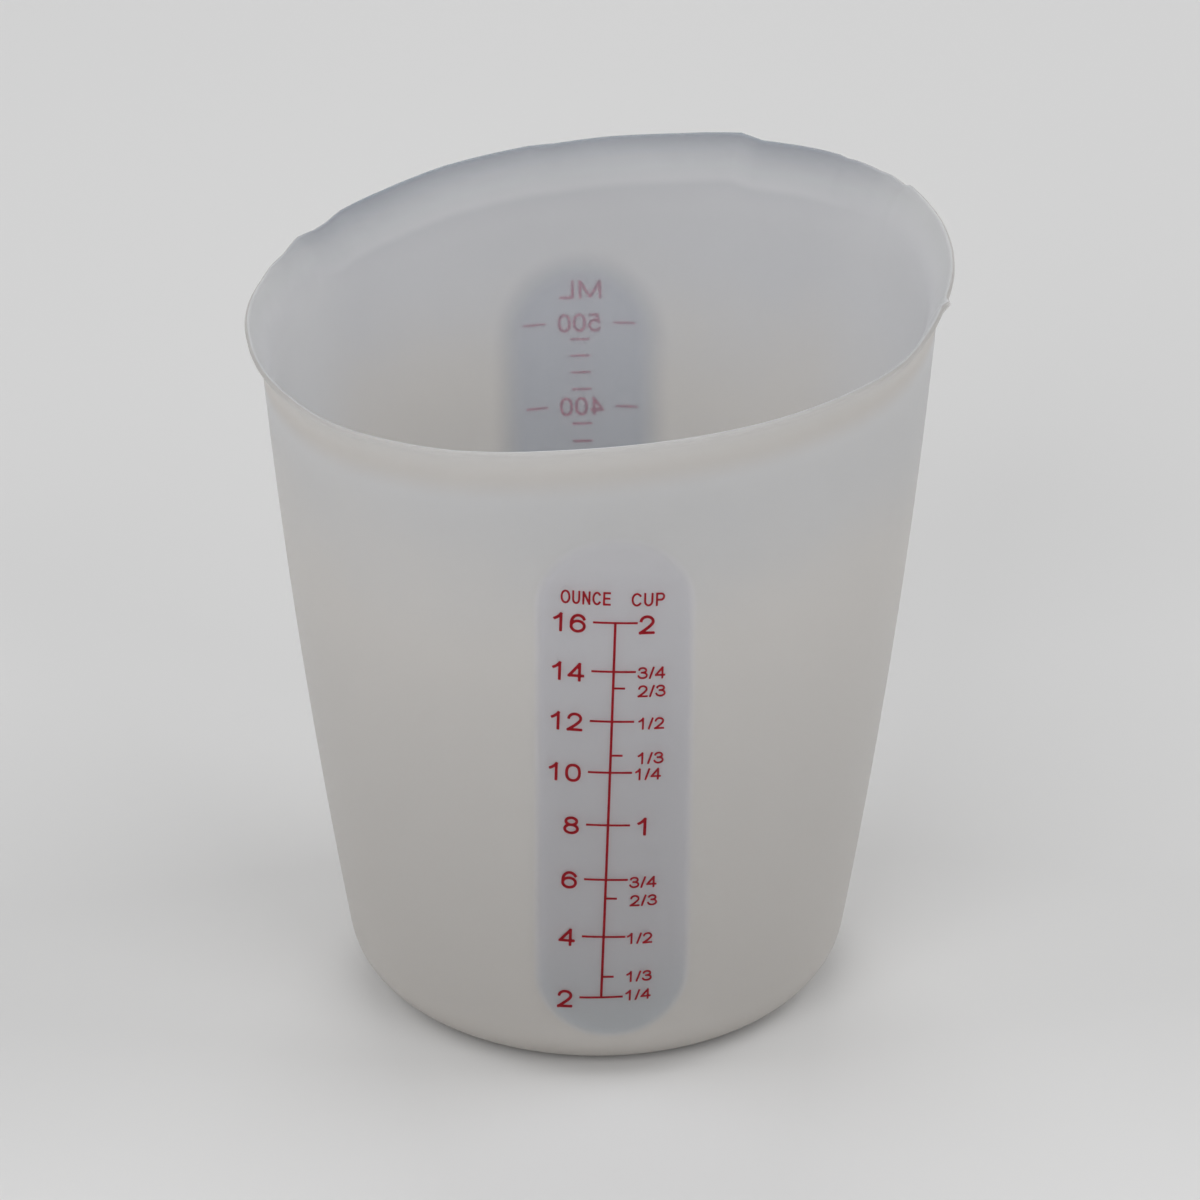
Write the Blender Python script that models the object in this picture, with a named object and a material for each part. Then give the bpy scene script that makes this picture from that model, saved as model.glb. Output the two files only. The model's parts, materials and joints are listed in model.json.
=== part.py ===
"""Silicone measuring cup: one soft translucent moulding with two printed scales.

Metres, +Z up. The origin is the middle of the foot, on the surface that the cup stands on.
The ounce and cup scale faces -Y, the millilitre scale faces +Y.

The cup is a thin shell. Its section is worked out at every angle round the cup: up the outside from
the foot, over the rounded edge of the lip, and down the inside to the floor. Soft rubber never stands
quite true, so the mouth is a little oval and the rim is higher on one side. Both scales are placed by
the volume that the finished inside really holds below each mark.
"""

import math

import bmesh
import bpy
import numpy as np

# The moulding's side
CUP_HEIGHT = 0.117  # foot to the lip's edge, halfway between its high side and its low side
FOOT_RADIUS = 0.03805  # where the side would meet the ground if the base corner were sharp
MOUTH_RADIUS = 0.0507  # at the rim, without the lip's flare
SIDE_BOW = 0.0017  # how far the side swells past a straight taper at half height
CORNER_RADIUS = 0.0104  # rounding between the foot and the side

# Wall and floor
WALL_THICKNESS = 0.0016
FLOOR_THICKNESS = 0.0021
FOOT_RING_WIDTH = 0.006  # flat ring that the cup stands on
FOOT_RECESS = 0.0005  # how far the middle of the underside is raised inside that ring

# Lip
LIP_HEIGHT = 0.008
LIP_FLARE = 0.00205  # how far the lip's edge stands out past the side
LIP_CURL = 3.0  # power by which the flare grows up the lip
LIP_THINNING = 0.0007  # how much thinner than the wall the lip is at its edge

# The soft shape that the empty cup takes; angles are counted from +X towards +Y
RIM_SLANT = 0.006  # the rim's highest side is this far above its mean height
RIM_SLANT_TOWARDS = math.radians(26.5)
RIM_WAVE = 0.00078  # twice round the rim, it rises and dips by this much
RIM_WAVE_TOWARDS = math.radians(56.0)
RIM_RIPPLE = 0.00089  # and three times round the rim by this much
RIM_RIPPLE_TOWARDS = math.radians(26.8)
MOUTH_OVALITY = 0.0325  # share of the radius that the mouth gains on its long axis
MOUTH_LONG_AXIS = math.radians(-8.5)
OVALITY_GROWTH = 1.5  # power of the height by which the round base turns oval

# Clear windows, where the wall is polished and thinner from the inside
WINDOW_WIDTH = 0.0245
WINDOW_ABOVE_FOOT = 0.0078
WINDOW_BELOW_RIM = 0.017  # below the rim's mean height
WINDOW_THINNING = 0.0005
WINDOW_RAMP = 0.0025  # width of the soft slope round the window's edge
FRONT = math.radians(-90.0)
BACK = math.radians(90.0)

# Printed scales, in ink of a real thickness that stands just clear of the wall
INK_THICKNESS = 0.00008
INK_GAP = 0.00006
PRINT_LEAN = math.radians(1.4)  # both prints lean this much to the right, about their top mark
FRONT_MARK_SLANT = math.radians(2.9)  # the marks high on the front slope down to the right by this much
BACK_MARK_SLANT = math.radians(0.6)
LEVEL_MARK_HEIGHT = 0.0177  # a mark here would run level, and marks nearer the foot slope the other way
UPRIGHT_WIDTH = 0.00038
MARK_WIDTH = 0.00032
LONG_MARK_REACH = 0.00335  # from the middle of the upright to either end of a long mark
SHORT_MARK_REACH = 0.0018
DASH_START = 0.0055  # from the middle of the millilitre scale to a dash's inner end
DASH_LENGTH = 0.0036
MINOR_MARK_LENGTH = 0.0032
SCALE_BELOW_LIP = 0.001  # no mark is printed closer than this to the lip

# Volumes, in cubic metres
FLUID_OUNCE = 29.5735e-6
CUP_MEASURE = 8.0 * FLUID_OUNCE
MILLILITRE = 1.0e-6
OUNCES_PER_LONG_MARK = 2
HIGHEST_OUNCE_MARK = 16
PARTS_OF_A_CUP = 3  # the short marks are thirds of a cup
MILLILITRES_PER_DASH = 100
MILLILITRES_PER_MINOR_MARK = 20
HIGHEST_MILLILITRE_MARK = 500

# How finely the shapes are divided
COLUMNS = 80
COLUMN_GATHER = 0.4  # columns stand this much closer at the windows than on average
CORNER_ROWS = 6
OUTSIDE_ROWS = 9
INSIDE_ROWS = 17
LIP_ROWS = 6
EDGE_ROWS = 5
MARK_PIECE = 0.0017  # longest straight piece across a mark
UPRIGHT_PIECE = 0.005  # longest straight piece of the upright
VOLUME_ANGLES = 72
VOLUME_SLICES = 400

# Finish: colour, roughness and how much light passes through
SILICONE = ((0.70, 0.70, 0.69, 1.0), 0.5, 0.35)
INK = ((0.30, 0.012, 0.018, 1.0), 0.45, 0.0)


def remove_everything():
    """Start from an empty scene."""
    for thing in list(bpy.data.objects):
        bpy.data.objects.remove(thing, do_unlink=True)


def make_material(name, finish):
    """A Principled material with the given colour, roughness and transmission."""
    colour, roughness, clarity = finish
    material = bpy.data.materials.new(name)
    material.use_nodes = True
    material.diffuse_color = colour
    shader = material.node_tree.nodes["Principled BSDF"]
    shader.inputs["Base Color"].default_value = colour
    shader.inputs["Roughness"].default_value = roughness
    shader.inputs["Metallic"].default_value = 0.0
    shader.inputs["Transmission Weight"].default_value = clarity
    return material


def side_radius(height):
    """Outside radius of the tapered and slightly bowed side, without corner, flare or ovality."""
    share = height / CUP_HEIGHT
    taper = FOOT_RADIUS + (MOUTH_RADIUS - FOOT_RADIUS) * share
    return taper + 4.0 * SIDE_BOW * share * (1.0 - share)


def base_corner():
    """Radius of the foot's flat, and the side's lean where the rounded corner runs into it."""
    lean = 0.0
    probe = 0.01 * CORNER_RADIUS
    for _ in range(6):
        end = CORNER_RADIUS * (1.0 - math.sin(lean))
        rise = side_radius(end + probe) - side_radius(end - probe)
        lean = math.atan2(rise, 2.0 * probe)
    end = CORNER_RADIUS * (1.0 - math.sin(lean))
    return side_radius(end) - CORNER_RADIUS * math.cos(lean), lean


def rim_height(angle):
    """Height of the lip's edge at one angle, before the edge is rounded."""
    slant = RIM_SLANT * math.cos(angle - RIM_SLANT_TOWARDS)
    wave = RIM_WAVE * math.cos(2.0 * (angle - RIM_WAVE_TOWARDS))
    ripple = RIM_RIPPLE * math.cos(3.0 * (angle - RIM_RIPPLE_TOWARDS))
    return CUP_HEIGHT + slant + wave + ripple


def up_the_lip(angle, heights):
    """0 below the lip, growing to 1 at its edge."""
    return np.clip(1.0 - (rim_height(angle) - heights) / LIP_HEIGHT, 0.0, 1.0)


def outside_line(angle, rows=OUTSIDE_ROWS):
    """Radii and heights up the outside at one angle, from the foot's flat to the lip's edge."""
    foot_flat, lean = base_corner()
    turn = np.linspace(0.0, math.pi / 2.0 - lean, CORNER_ROWS + 1)
    corner_radii = foot_flat + CORNER_RADIUS * np.sin(turn)
    corner_heights = CORNER_RADIUS * (1.0 - np.cos(turn))

    top = rim_height(angle)
    side = np.linspace(corner_heights[-1], top - LIP_HEIGHT, rows + 1)[1:]
    lip = np.linspace(top - LIP_HEIGHT, top, LIP_ROWS + 1)[1:]
    side_heights = np.concatenate([side, lip])
    side_radii = side_radius(side_heights) + LIP_FLARE * up_the_lip(angle, side_heights) ** LIP_CURL

    radii = np.concatenate([corner_radii, side_radii])
    heights = np.concatenate([corner_heights, side_heights])
    growth = (heights / CUP_HEIGHT) ** OVALITY_GROWTH
    oval = MOUTH_OVALITY * growth * math.cos(2.0 * (angle - MOUTH_LONG_AXIS))
    return radii * (1.0 + oval), heights


def smooth_step(share):
    """0 to 1 with a level start and end."""
    share = np.clip(share, 0.0, 1.0)
    return share * share * (3.0 - 2.0 * share)


def window_depth(angle, radii, heights):
    """How far the points at one angle lie inside the edge of a window; below zero outside both."""
    half = WINDOW_WIDTH / 2.0
    lowest = WINDOW_ABOVE_FOOT + half
    highest = CUP_HEIGHT - WINDOW_BELOW_RIM - half
    past_an_end = heights - np.clip(heights, lowest, highest)
    deepest = np.full_like(heights, -math.inf)
    for middle in (FRONT, BACK):
        turn = math.remainder(angle - middle, 2.0 * math.pi)
        deepest = np.maximum(deepest, half - np.hypot(turn * radii, past_an_end))
    return deepest


def inside_line(angle, rows=INSIDE_ROWS):
    """Radii and heights up the inside at one angle, from the floor's edge to the lip's edge."""
    radii, heights = outside_line(angle, rows)
    outward = np.gradient(radii)
    upward = np.gradient(heights)
    upward[0] = 0.0  # the corner starts level, so the floor meets it without a step
    length = np.hypot(outward, upward)

    corner_top = heights[CORNER_ROWS]
    thickness = FLOOR_THICKNESS + (WALL_THICKNESS - FLOOR_THICKNESS) * smooth_step(heights / corner_top)
    thickness -= WINDOW_THINNING * smooth_step(window_depth(angle, radii, heights) / WINDOW_RAMP)
    thickness -= LIP_THINNING * smooth_step(up_the_lip(angle, heights))
    return radii - thickness * upward / length, heights + thickness * outward / length


def lip_edge(outer, inner, below):
    """Half circle over the lip from its outer corner to its inner one; below is a lower outer point."""
    middle = (outer + inner) / 2.0
    half = (outer - inner) / 2.0
    onward = (outer - below) / np.linalg.norm(outer - below) * np.linalg.norm(half)
    turns = np.linspace(0.0, math.pi, EDGE_ROWS + 1)[1:-1]
    return [middle + half * math.cos(turn) + onward * math.sin(turn) for turn in turns]


def section(angle):
    """The shell's whole section at one angle as (radius, height) points, without its two centres."""
    foot_flat, _ = base_corner()
    ring_inner = foot_flat - FOOT_RING_WIDTH
    outside = np.column_stack(outside_line(angle))
    inside = np.column_stack(inside_line(angle))
    underside = [(ring_inner - FOOT_RECESS, FOOT_RECESS), (ring_inner, 0.0)]
    edge = lip_edge(outside[-1], inside[-1], outside[-2])
    return [*underside, *outside, *edge, *inside[::-1]]


def column_angles():
    """Angles of the upright columns of points, gathered towards the two windows."""
    even = np.linspace(0.0, 2.0 * math.pi, COLUMNS, endpoint=False)
    return even - COLUMN_GATHER / 2.0 * np.sin(2.0 * (even - FRONT))


def place(angle, radius, height):
    """A point in space from its angle round the cup, its radius and its height."""
    return (radius * math.cos(angle), radius * math.sin(angle), height)


def finish_object(name, mesh_builder, material):
    """Turn a bmesh into a named object with smooth round faces and crisp edges."""
    bmesh.ops.recalc_face_normals(mesh_builder, faces=mesh_builder.faces)
    mesh = bpy.data.meshes.new(name)
    mesh_builder.to_mesh(mesh)
    mesh_builder.free()
    mesh.materials.append(material)
    mesh.shade_smooth()
    mesh.set_sharp_from_angle(angle=math.radians(40.0))
    thing = bpy.data.objects.new(name, mesh)
    bpy.context.scene.collection.objects.link(thing)
    return thing


def make_cup_body(material):
    """Loft the sections round the cup and close the underside and the floor."""
    builder = bmesh.new()
    columns = []
    for angle in column_angles():
        columns.append([builder.verts.new(place(angle, *point)) for point in section(angle)])
    underside = builder.verts.new((0.0, 0.0, FOOT_RECESS))
    floor = builder.verts.new((0.0, 0.0, FLOOR_THICKNESS))
    for index, column in enumerate(columns):
        following = columns[(index + 1) % COLUMNS]
        builder.faces.new((underside, following[0], column[0]))
        builder.faces.new((floor, column[-1], following[-1]))
        for row in range(len(column) - 1):
            builder.faces.new((column[row], following[row], following[row + 1], column[row + 1]))
    return finish_object("cup_body", builder, material)


def volume_heights(volumes):
    """Heights that liquid of these volumes reaches, from the real inside of the cup."""
    angles = np.linspace(0.0, 2.0 * math.pi, VOLUME_ANGLES, endpoint=False)
    lines = [inside_line(angle) for angle in angles]
    brim = min(heights[-1] for _, heights in lines)
    levels = np.linspace(FLOOR_THICKNESS, brim, VOLUME_SLICES)
    radii = np.array([np.interp(levels, heights, radii) for radii, heights in lines])
    areas = math.pi * np.mean(radii**2, axis=0)
    slices = (areas[1:] + areas[:-1]) / 2.0 * np.diff(levels)
    return np.interp(volumes, np.concatenate([[0.0], np.cumsum(slices)]), levels)


def printable(volumes):
    """The volumes whose marks lie below the lip, each with its height."""
    lowest_lip = min(rim_height(angle) for angle in column_angles()) - LIP_HEIGHT
    limit = lowest_lip - SCALE_BELOW_LIP
    return [(volume, height) for volume, height in zip(volumes, volume_heights(volumes)) if height < limit]


def mark_slant(middle, height):
    """How much a mark at one height of a print slopes down to the reader's right."""
    most = FRONT_MARK_SLANT if middle == FRONT else BACK_MARK_SLANT
    return most * (1.0 - (LEVEL_MARK_HEIGHT / height) ** 2)


def on_the_wall(middle, top, across, height, proud):
    """A point on a leaning print: across runs to the reader's right from the window's middle."""
    drop = height - top
    slant = mark_slant(middle, height)
    leant_across = across * math.cos(slant) + drop * math.sin(PRINT_LEAN)
    leant_height = top + drop * math.cos(PRINT_LEAN) - across * math.sin(slant)
    line_radii, line_heights = outside_line(middle)
    angle = middle + leant_across / np.interp(leant_height, line_heights, line_radii)
    line_radii, line_heights = outside_line(angle)
    probe = MARK_WIDTH
    radius, above, below = np.interp([leant_height, leant_height + probe, leant_height - probe],
                                     line_heights, line_radii)
    lean = math.atan2(above - below, 2.0 * probe)
    return place(angle, radius + proud * math.cos(lean), leant_height - proud * math.sin(lean))


def split(stops, longest):
    """Add even stops between the given ones, so that no step is longer than the limit."""
    stops = sorted(stops)
    fine = [stops[0]]
    for start, end in zip(stops, stops[1:]):
        count = max(1, math.ceil((end - start) / longest))
        fine.extend(start + (end - start) * step / count for step in range(1, count + 1))
    return fine


def make_print(name, columns, rows, inked, put, material):
    """A thin layer of ink over the cells of a grid for which inked(across, height) is true."""
    builder = bmesh.new()
    corners = {}

    def corner(column, row, proud):
        key = (column, row, proud)
        if key not in corners:
            corners[key] = builder.verts.new(put(columns[column], rows[row], proud))
        return corners[key]

    cells = set()
    for column in range(len(columns) - 1):
        for row in range(len(rows) - 1):
            middle_across = (columns[column] + columns[column + 1]) / 2.0
            middle_height = (rows[row] + rows[row + 1]) / 2.0
            if inked(middle_across, middle_height):
                cells.add((column, row))

    back, face = INK_GAP, INK_GAP + INK_THICKNESS
    for column, row in sorted(cells):
        square = [(column, row), (column + 1, row), (column + 1, row + 1), (column, row + 1)]
        builder.faces.new([corner(*at, face) for at in square])
        builder.faces.new([corner(*at, back) for at in reversed(square)])
        neighbours = [(column, row - 1), (column + 1, row), (column, row + 1), (column - 1, row)]
        for side, neighbour in enumerate(neighbours):
            if neighbour not in cells:
                start, end = square[side], square[(side + 1) % 4]
                ends = [corner(*start, back), corner(*end, back), corner(*end, face), corner(*start, face)]
                builder.faces.new(ends)
    return finish_object(name, builder, material)


def make_ounce_cup_scale(material):
    """One upright, crossed by a long mark every two ounces, with short marks at thirds of a cup."""
    long_steps = range(OUNCES_PER_LONG_MARK, HIGHEST_OUNCE_MARK + 1, OUNCES_PER_LONG_MARK)
    long_marks = printable([ounces * FLUID_OUNCE for ounces in long_steps])
    highest_volume, top = long_marks[-1]
    bottom = long_marks[0][1]
    thirds = [part * CUP_MEASURE / PARTS_OF_A_CUP for part in range(1, 2 * PARTS_OF_A_CUP)
              if part % PARTS_OF_A_CUP]
    short_marks = printable([volume for volume in thirds if volume < highest_volume])

    half = MARK_WIDTH / 2.0
    long_heights = [height for _, height in long_marks]
    short_heights = [height for _, height in short_marks]
    rows = [height + side for height in long_heights + short_heights for side in (-half, half)]
    rows = split(rows, UPRIGHT_PIECE)
    upright = UPRIGHT_WIDTH / 2.0
    columns = split([-LONG_MARK_REACH, -upright, upright, SHORT_MARK_REACH, LONG_MARK_REACH], MARK_PIECE)

    def on_a_mark(height, heights):
        return any(abs(height - mark) < half for mark in heights)

    def inked(across, height):
        if abs(across) < upright:
            return bottom - half < height < top + half
        if on_a_mark(height, long_heights):
            return True
        return 0.0 < across < SHORT_MARK_REACH and on_a_mark(height, short_heights)

    def put(across, height, proud):
        return on_the_wall(FRONT, top, across, height, proud)

    return make_print("ounce_cup_scale", columns, rows, inked, put, material)


def make_mark(name, start, end, height, top, material):
    """One straight mark of the millilitre scale, from start to end across the back window."""
    half = MARK_WIDTH / 2.0

    def put(across, mark_height, proud):
        return on_the_wall(BACK, top, across, mark_height, proud)

    def everywhere(across, mark_height):
        return True

    columns = split([start, end], MARK_PIECE)
    return make_print(name, columns, [height - half, height + half], everywhere, put, material)


def make_millilitre_scale(material):
    """A dash on each side of every hundred, and a short mark at every twenty between two hundreds."""
    steps = range(MILLILITRES_PER_DASH, HIGHEST_MILLILITRE_MARK + 1, MILLILITRES_PER_MINOR_MARK)
    marks = printable([step * MILLILITRE for step in steps])
    top = marks[-1][1]
    half = MINOR_MARK_LENGTH / 2.0
    for volume, height in marks:
        label = round(volume / MILLILITRE)
        if label % MILLILITRES_PER_DASH:
            make_mark(f"ml_{label}_mark", -half, half, height, top, material)
            continue
        far = DASH_START + DASH_LENGTH
        make_mark(f"ml_{label}_dash_left", -far, -DASH_START, height, top, material)
        make_mark(f"ml_{label}_dash_right", DASH_START, far, height, top, material)


def main():
    remove_everything()
    make_cup_body(make_material("silicone", SILICONE))
    ink = make_material("ink", INK)
    make_ounce_cup_scale(ink)
    make_millilitre_scale(ink)


main()
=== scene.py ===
"""Looks of the silicone measuring cup: a fine moulded shell, printed scales and soft studio light.

Metres, +Z up, in the frame's own coordinates. The shell's section is the same formula as the
construction's, drawn finer and with the small trimming faults of the real rim. The numbers and words
beside the scales are thin solid layers of ink, drawn from strokes and wrapped on the wall.
"""

import json
import math
from typing import NamedTuple

import bpy
import numpy as np
from mathutils import Matrix, Vector

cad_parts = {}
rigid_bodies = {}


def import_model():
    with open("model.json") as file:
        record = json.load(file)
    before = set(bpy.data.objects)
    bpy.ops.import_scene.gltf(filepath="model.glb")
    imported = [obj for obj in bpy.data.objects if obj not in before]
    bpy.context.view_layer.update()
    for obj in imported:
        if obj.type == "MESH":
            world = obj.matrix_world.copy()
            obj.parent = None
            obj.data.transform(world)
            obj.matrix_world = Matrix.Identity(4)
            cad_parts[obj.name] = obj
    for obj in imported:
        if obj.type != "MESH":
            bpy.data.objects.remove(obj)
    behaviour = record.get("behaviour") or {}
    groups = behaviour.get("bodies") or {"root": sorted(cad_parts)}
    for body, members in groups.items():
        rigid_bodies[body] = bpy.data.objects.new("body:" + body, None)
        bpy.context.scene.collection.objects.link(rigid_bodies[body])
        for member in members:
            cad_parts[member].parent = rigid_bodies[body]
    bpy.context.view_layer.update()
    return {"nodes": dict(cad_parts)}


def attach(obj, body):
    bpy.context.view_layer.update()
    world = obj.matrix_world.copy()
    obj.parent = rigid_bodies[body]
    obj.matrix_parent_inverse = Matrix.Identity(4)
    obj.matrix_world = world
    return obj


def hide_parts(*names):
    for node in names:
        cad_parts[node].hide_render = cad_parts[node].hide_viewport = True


# The moulding's side, as in the construction
CUP_HEIGHT = 0.117
FOOT_RADIUS = 0.03805
MOUTH_RADIUS = 0.0507
SIDE_BOW = 0.0017
CORNER_RADIUS = 0.0104

# Wall and floor
WALL_THICKNESS = 0.0016
FLOOR_THICKNESS = 0.0021
FOOT_RING_WIDTH = 0.006
FOOT_RECESS = 0.0005

# Lip
LIP_HEIGHT = 0.008
LIP_FLARE = 0.00205
LIP_CURL = 3.0
LIP_THINNING = 0.0007

# The soft shape that the empty cup takes; angles are counted from +X towards +Y
RIM_SLANT = 0.006
RIM_SLANT_TOWARDS = math.radians(26.5)
RIM_WAVE = 0.00078
RIM_WAVE_TOWARDS = math.radians(56.0)
RIM_RIPPLE = 0.00089
RIM_RIPPLE_TOWARDS = math.radians(26.8)
MOUTH_OVALITY = 0.0325
MOUTH_LONG_AXIS = math.radians(-8.5)
OVALITY_GROWTH = 1.5

# Clear windows: the wall thins out between the two depths of a ramp, counted inwards from the edge
WINDOW_WIDTH = 0.0245
WINDOW_ABOVE_FOOT = 0.0078
WINDOW_BELOW_RIM = 0.017
WINDOW_THINNING = 0.0005
WINDOW_RAMP = (0.0, 0.0025)
SHELL_WINDOW_RAMP = (-0.0025, 0.0035)  # a gentler one, on the fine shell alone
FRONT = math.radians(-90.0)
BACK = math.radians(90.0)

# The windows' rounded ends are half circles about these two heights
WINDOW_HALF = WINDOW_WIDTH / 2.0
WINDOW_TOP = CUP_HEIGHT - WINDOW_BELOW_RIM
LOWER_END = WINDOW_ABOVE_FOOT + WINDOW_HALF
UPPER_END = WINDOW_TOP - WINDOW_HALF

# Printed scales
INK_THICKNESS = 0.00008
INK_GAP = 0.00006
PRINT_LEAN = math.radians(1.4)
FRONT_MARK_SLANT = math.radians(2.9)
BACK_MARK_SLANT = math.radians(0.6)
LEVEL_MARK_HEIGHT = 0.0177

# Volumes, in cubic metres
FLUID_OUNCE = 29.5735e-6
MILLILITRE = 1.0e-6
VOLUME_ANGLES = 72
VOLUME_SLICES = 400

# How finely the shell is divided
COLUMNS = 480
CORNER_ROWS = 14
OUTSIDE_ROWS = 62
LIP_ROWS = 12
EDGE_ROWS = 10
FLOOR_RINGS = 8
PROFILE_ROWS = 17  # side rows of the section from which volumes are read
SETTLING_ROUNDS = 6  # rounds after which the base corner's lean no longer changes
WALL_PROBE = 0.0003  # the wall's lean is read over this height, upwards and downwards
SHARP_EDGE = math.radians(40.0)

# Small faults of the trimmed rim: angle in degrees, then how much higher the edge is there
RIM_STEPS = (
    (0.0, 0.0001),
    (9.0, 0.00023),
    (14.0, 0.00014),
    (21.5, 0.0002),
    (23.0, -0.00042),
    (27.0, -0.0003),
    (30.0, -0.0006),
    (36.0, -0.0007),
    (38.0, -0.0009),
    (40.0, -0.0007),
    (52.0, -0.00093),
    (56.0, -0.00087),
    (60.0, 0.00015),
    (71.0, -0.00005),
    (76.0, 0.0),
    (85.0, 0.00026),
    (94.0, 0.00024),
    (99.0, 0.00053),
    (115.0, 0.00035),
    (121.0, 0.0),
    (127.0, -0.00025),
    (136.5, -0.00032),
    (140.0, -0.00093),
    (143.0, -0.0009),
    (148.0, 0.0),
    (152.5, -0.0007),
    (157.0, -0.0004),
    (162.0, -0.0005),
    (170.0, 0.0001),
    (204.0, 0.0004),
    (213.0, 0.0001),
    (228.0, 0.00005),
    (242.0, -0.0003),
    (251.0, -0.0002),
    (260.0, 0.0),
    (290.0, 0.00034),
    (307.0, 0.00047),
    (314.0, 0.00035),
    (320.0, 0.0001),
    (332.0, -0.0003),
    (345.0, 0.0),
)

# The same for how much further out the edge stands, with a pointed remnant of flash at 345 degrees
RIM_BENDS = (
    (0.0, -0.00005),
    (176.0, -0.00005),
    (183.0, -0.0003),
    (204.0, -0.0004),
    (222.0, -0.00005),
    (326.0, -0.00005),
    (334.0, -0.0005),
    (343.8, -0.0006),
    (345.0, 0.0001),
    (346.0, -0.0005),
    (352.0, -0.00025),
)


class Style(NamedTuple):
    """Height and stroke of lettering in metres, and how wide it is drawn against its own shape."""

    height: float
    stroke: float
    stretch: float


NUMERALS = Style(0.00325, 0.00044, 1.12)
FRACTIONS = Style(0.0021, 0.00029, 1.1)
OUNCE_WORD = Style(0.0023, 0.0003, 0.664)
CUP_WORD = Style(0.0023, 0.0003, 0.775)
BACK_NUMERALS = Style(0.00315, 0.00042, 1.0)
BACK_WORD = Style(0.0032, 0.00042, 1.19)

# Where lettering stands: across the print from its middle line to the reader's right, and above a mark
OUNCE_NUMBERS_RIGHT = -0.0044
OUNCE_NUMBERS_RISE = -0.0003
OUNCE_WORD_LEFT = -0.0083
OUNCE_WORD_RISE = 0.0042
CUP_WORD_LEFT = 0.0023
CUP_WORD_RISE = 0.0041
BACK_WORD_SHIFT = -0.0003
BACK_WORD_RISE = 0.0058

# The front's numbers of cups: text, volume in ounces, left edge and drop below the mark
CUP_TEXTS = (
    ("2", 16.0, 0.00355, 0.0003),
    ("3/4", 14.0, 0.0036, 0.0002),
    ("2/3", 40.0 / 3.0, 0.00373, 0.0005),
    ("1/2", 12.0, 0.0040, 0.00035),
    ("1/3", 32.0 / 3.0, 0.0041, 0.0005),
    ("1/4", 10.0, 0.0038, 0.0003),
    ("1", 8.0, 0.0045, 0.0003),
    ("3/4", 6.0, 0.0036, 0.0005),
    ("2/3", 16.0 / 3.0, 0.0038, 0.00042),
    ("1/2", 4.0, 0.0036, 0.00035),
    ("1/3", 8.0 / 3.0, 0.00376, 0.0001),
    ("1/4", 2.0, 0.00374, -0.0002),
)

# How finely lettering is drawn
ARC_PIECES = 28
RING_PIECES = 48
BEND_PIECES = 12
CELLS_PER_STROKE = 4.0
MARGIN_CELLS = 2.0  # empty cells round a text
LEAST_SHARE = 0.02  # an outline's point keeps this share of a cell's side from the cell's corners

# Colours of the silicone
LOWER_COLOUR = (0.545, 0.513, 0.48, 1.0)
MIDDLE_COLOUR = (0.543, 0.518, 0.493, 1.0)
# Painted shade: the upper wall, outside and inside, is darker than its middle
UPPER_SHADE_COLOUR = (0.485, 0.485, 0.49, 1.0)
INNER_UPPER_SHADE_COLOUR = (0.475, 0.48, 0.505, 1.0)
# Painted shade: the foot is darker near the floor, where the cup stands on it
FOOT_SHADE_COLOUR = (0.43, 0.40, 0.37, 1.0)
# Painted light: the inside floor is painted much lighter than the wall, brightening its shade
INNER_FLOOR_LIGHT_COLOUR = (0.82, 0.80, 0.77, 1.0)
OUTER_WINDOW_COLOUR = (0.665, 0.65, 0.725, 1.0)
LOW_OUTER_WINDOW_COLOUR = (0.56, 0.60, 0.65, 1.0)
# Painted shade: the windows' inside is painted dark, darkest low down, as dark surroundings seen through
# them
INNER_WINDOW_SHADE_COLOUR = (0.25, 0.265, 0.31, 1.0)
LOW_INNER_WINDOW_SHADE_COLOUR = (0.175, 0.19, 0.225, 1.0)
# Painted light: the inside's lighter ends, more at the left, and a painted highlight band under the lip
INSIDE_LIGHT_COLOUR = (0.565, 0.57, 0.59, 1.0)
# Painted shade on the lip: a darker warm band outside, darker towards the edge, darkest inside at the back
WARM_LIP_SHADE_COLOUR = (0.435, 0.41, 0.385, 1.0)
OUTER_LIP_SHADE_COLOUR = (0.27, 0.262, 0.255, 1.0)
INNER_LIP_SHADE_COLOUR = (0.31, 0.315, 0.325, 1.0)
BACK_LIP_SHADE_COLOUR = (0.04, 0.055, 0.085, 1.0)

# Ramps of the silicone's looks: each goes from 0 to 1 between its first two numbers, or from its
# third number to its fourth. These follow the height:
FOOT_SHADE_TO_LOWER = (0.0, 0.009)
LOWER_TO_MIDDLE = (0.01, 0.06)
MIDDLE_TO_UPPER_SHADE = (0.085, 0.115)
INNER_FLOOR_LIGHT = (0.004, 0.014, 1.0, 0.0)
UP_OUTER_WINDOW = (0.01, 0.03)
UP_INNER_WINDOW_SHADE = (0.055, 0.1)
OUTER_WINDOW_FADE = (WINDOW_TOP - 0.012, WINDOW_TOP, 1.0, 0.45)
INNER_SCATTER = (0.003, 0.03, 0.1, 1.0)

# These follow the depth inside a window's edge:
OUTER_WINDOW_EDGE = (-0.0004, 0.0016)
INNER_WINDOW_EDGE = (-0.003, 0.0035)

# These follow the distance from the plane x = 0, then x itself, then y:
LIGHT_AT_ENDS = (0.034, 0.047)
HIGHLIGHT_BAND_ENDS = (0.03, 0.045, 0.95, 0.3)
LIGHT_LEFT_TO_RIGHT = (-0.05, 0.05, 1.0, 0.5)
TO_THE_BACK = (0.012, 0.04)

# These follow the nearness to the rim, from 0 at RIM_BAND below the edge to 1 at the edge:
RIM_BAND = 0.012
LIGHT_AT_ENDS_BY_RIM = (0.2, 0.7, 1.0, 0.25)
HIGHLIGHT_BAND = (0.34, 0.48)
WARM_LIP_SHADE = (0.2, 0.6)

# Powers of the same nearness: the higher, the closer to the edge the lip's painted shade stays
OUTER_LIP_POWER = 4.0
INNER_LIP_POWER = 3.0
BACK_LIP_POWER = 2.0

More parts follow.
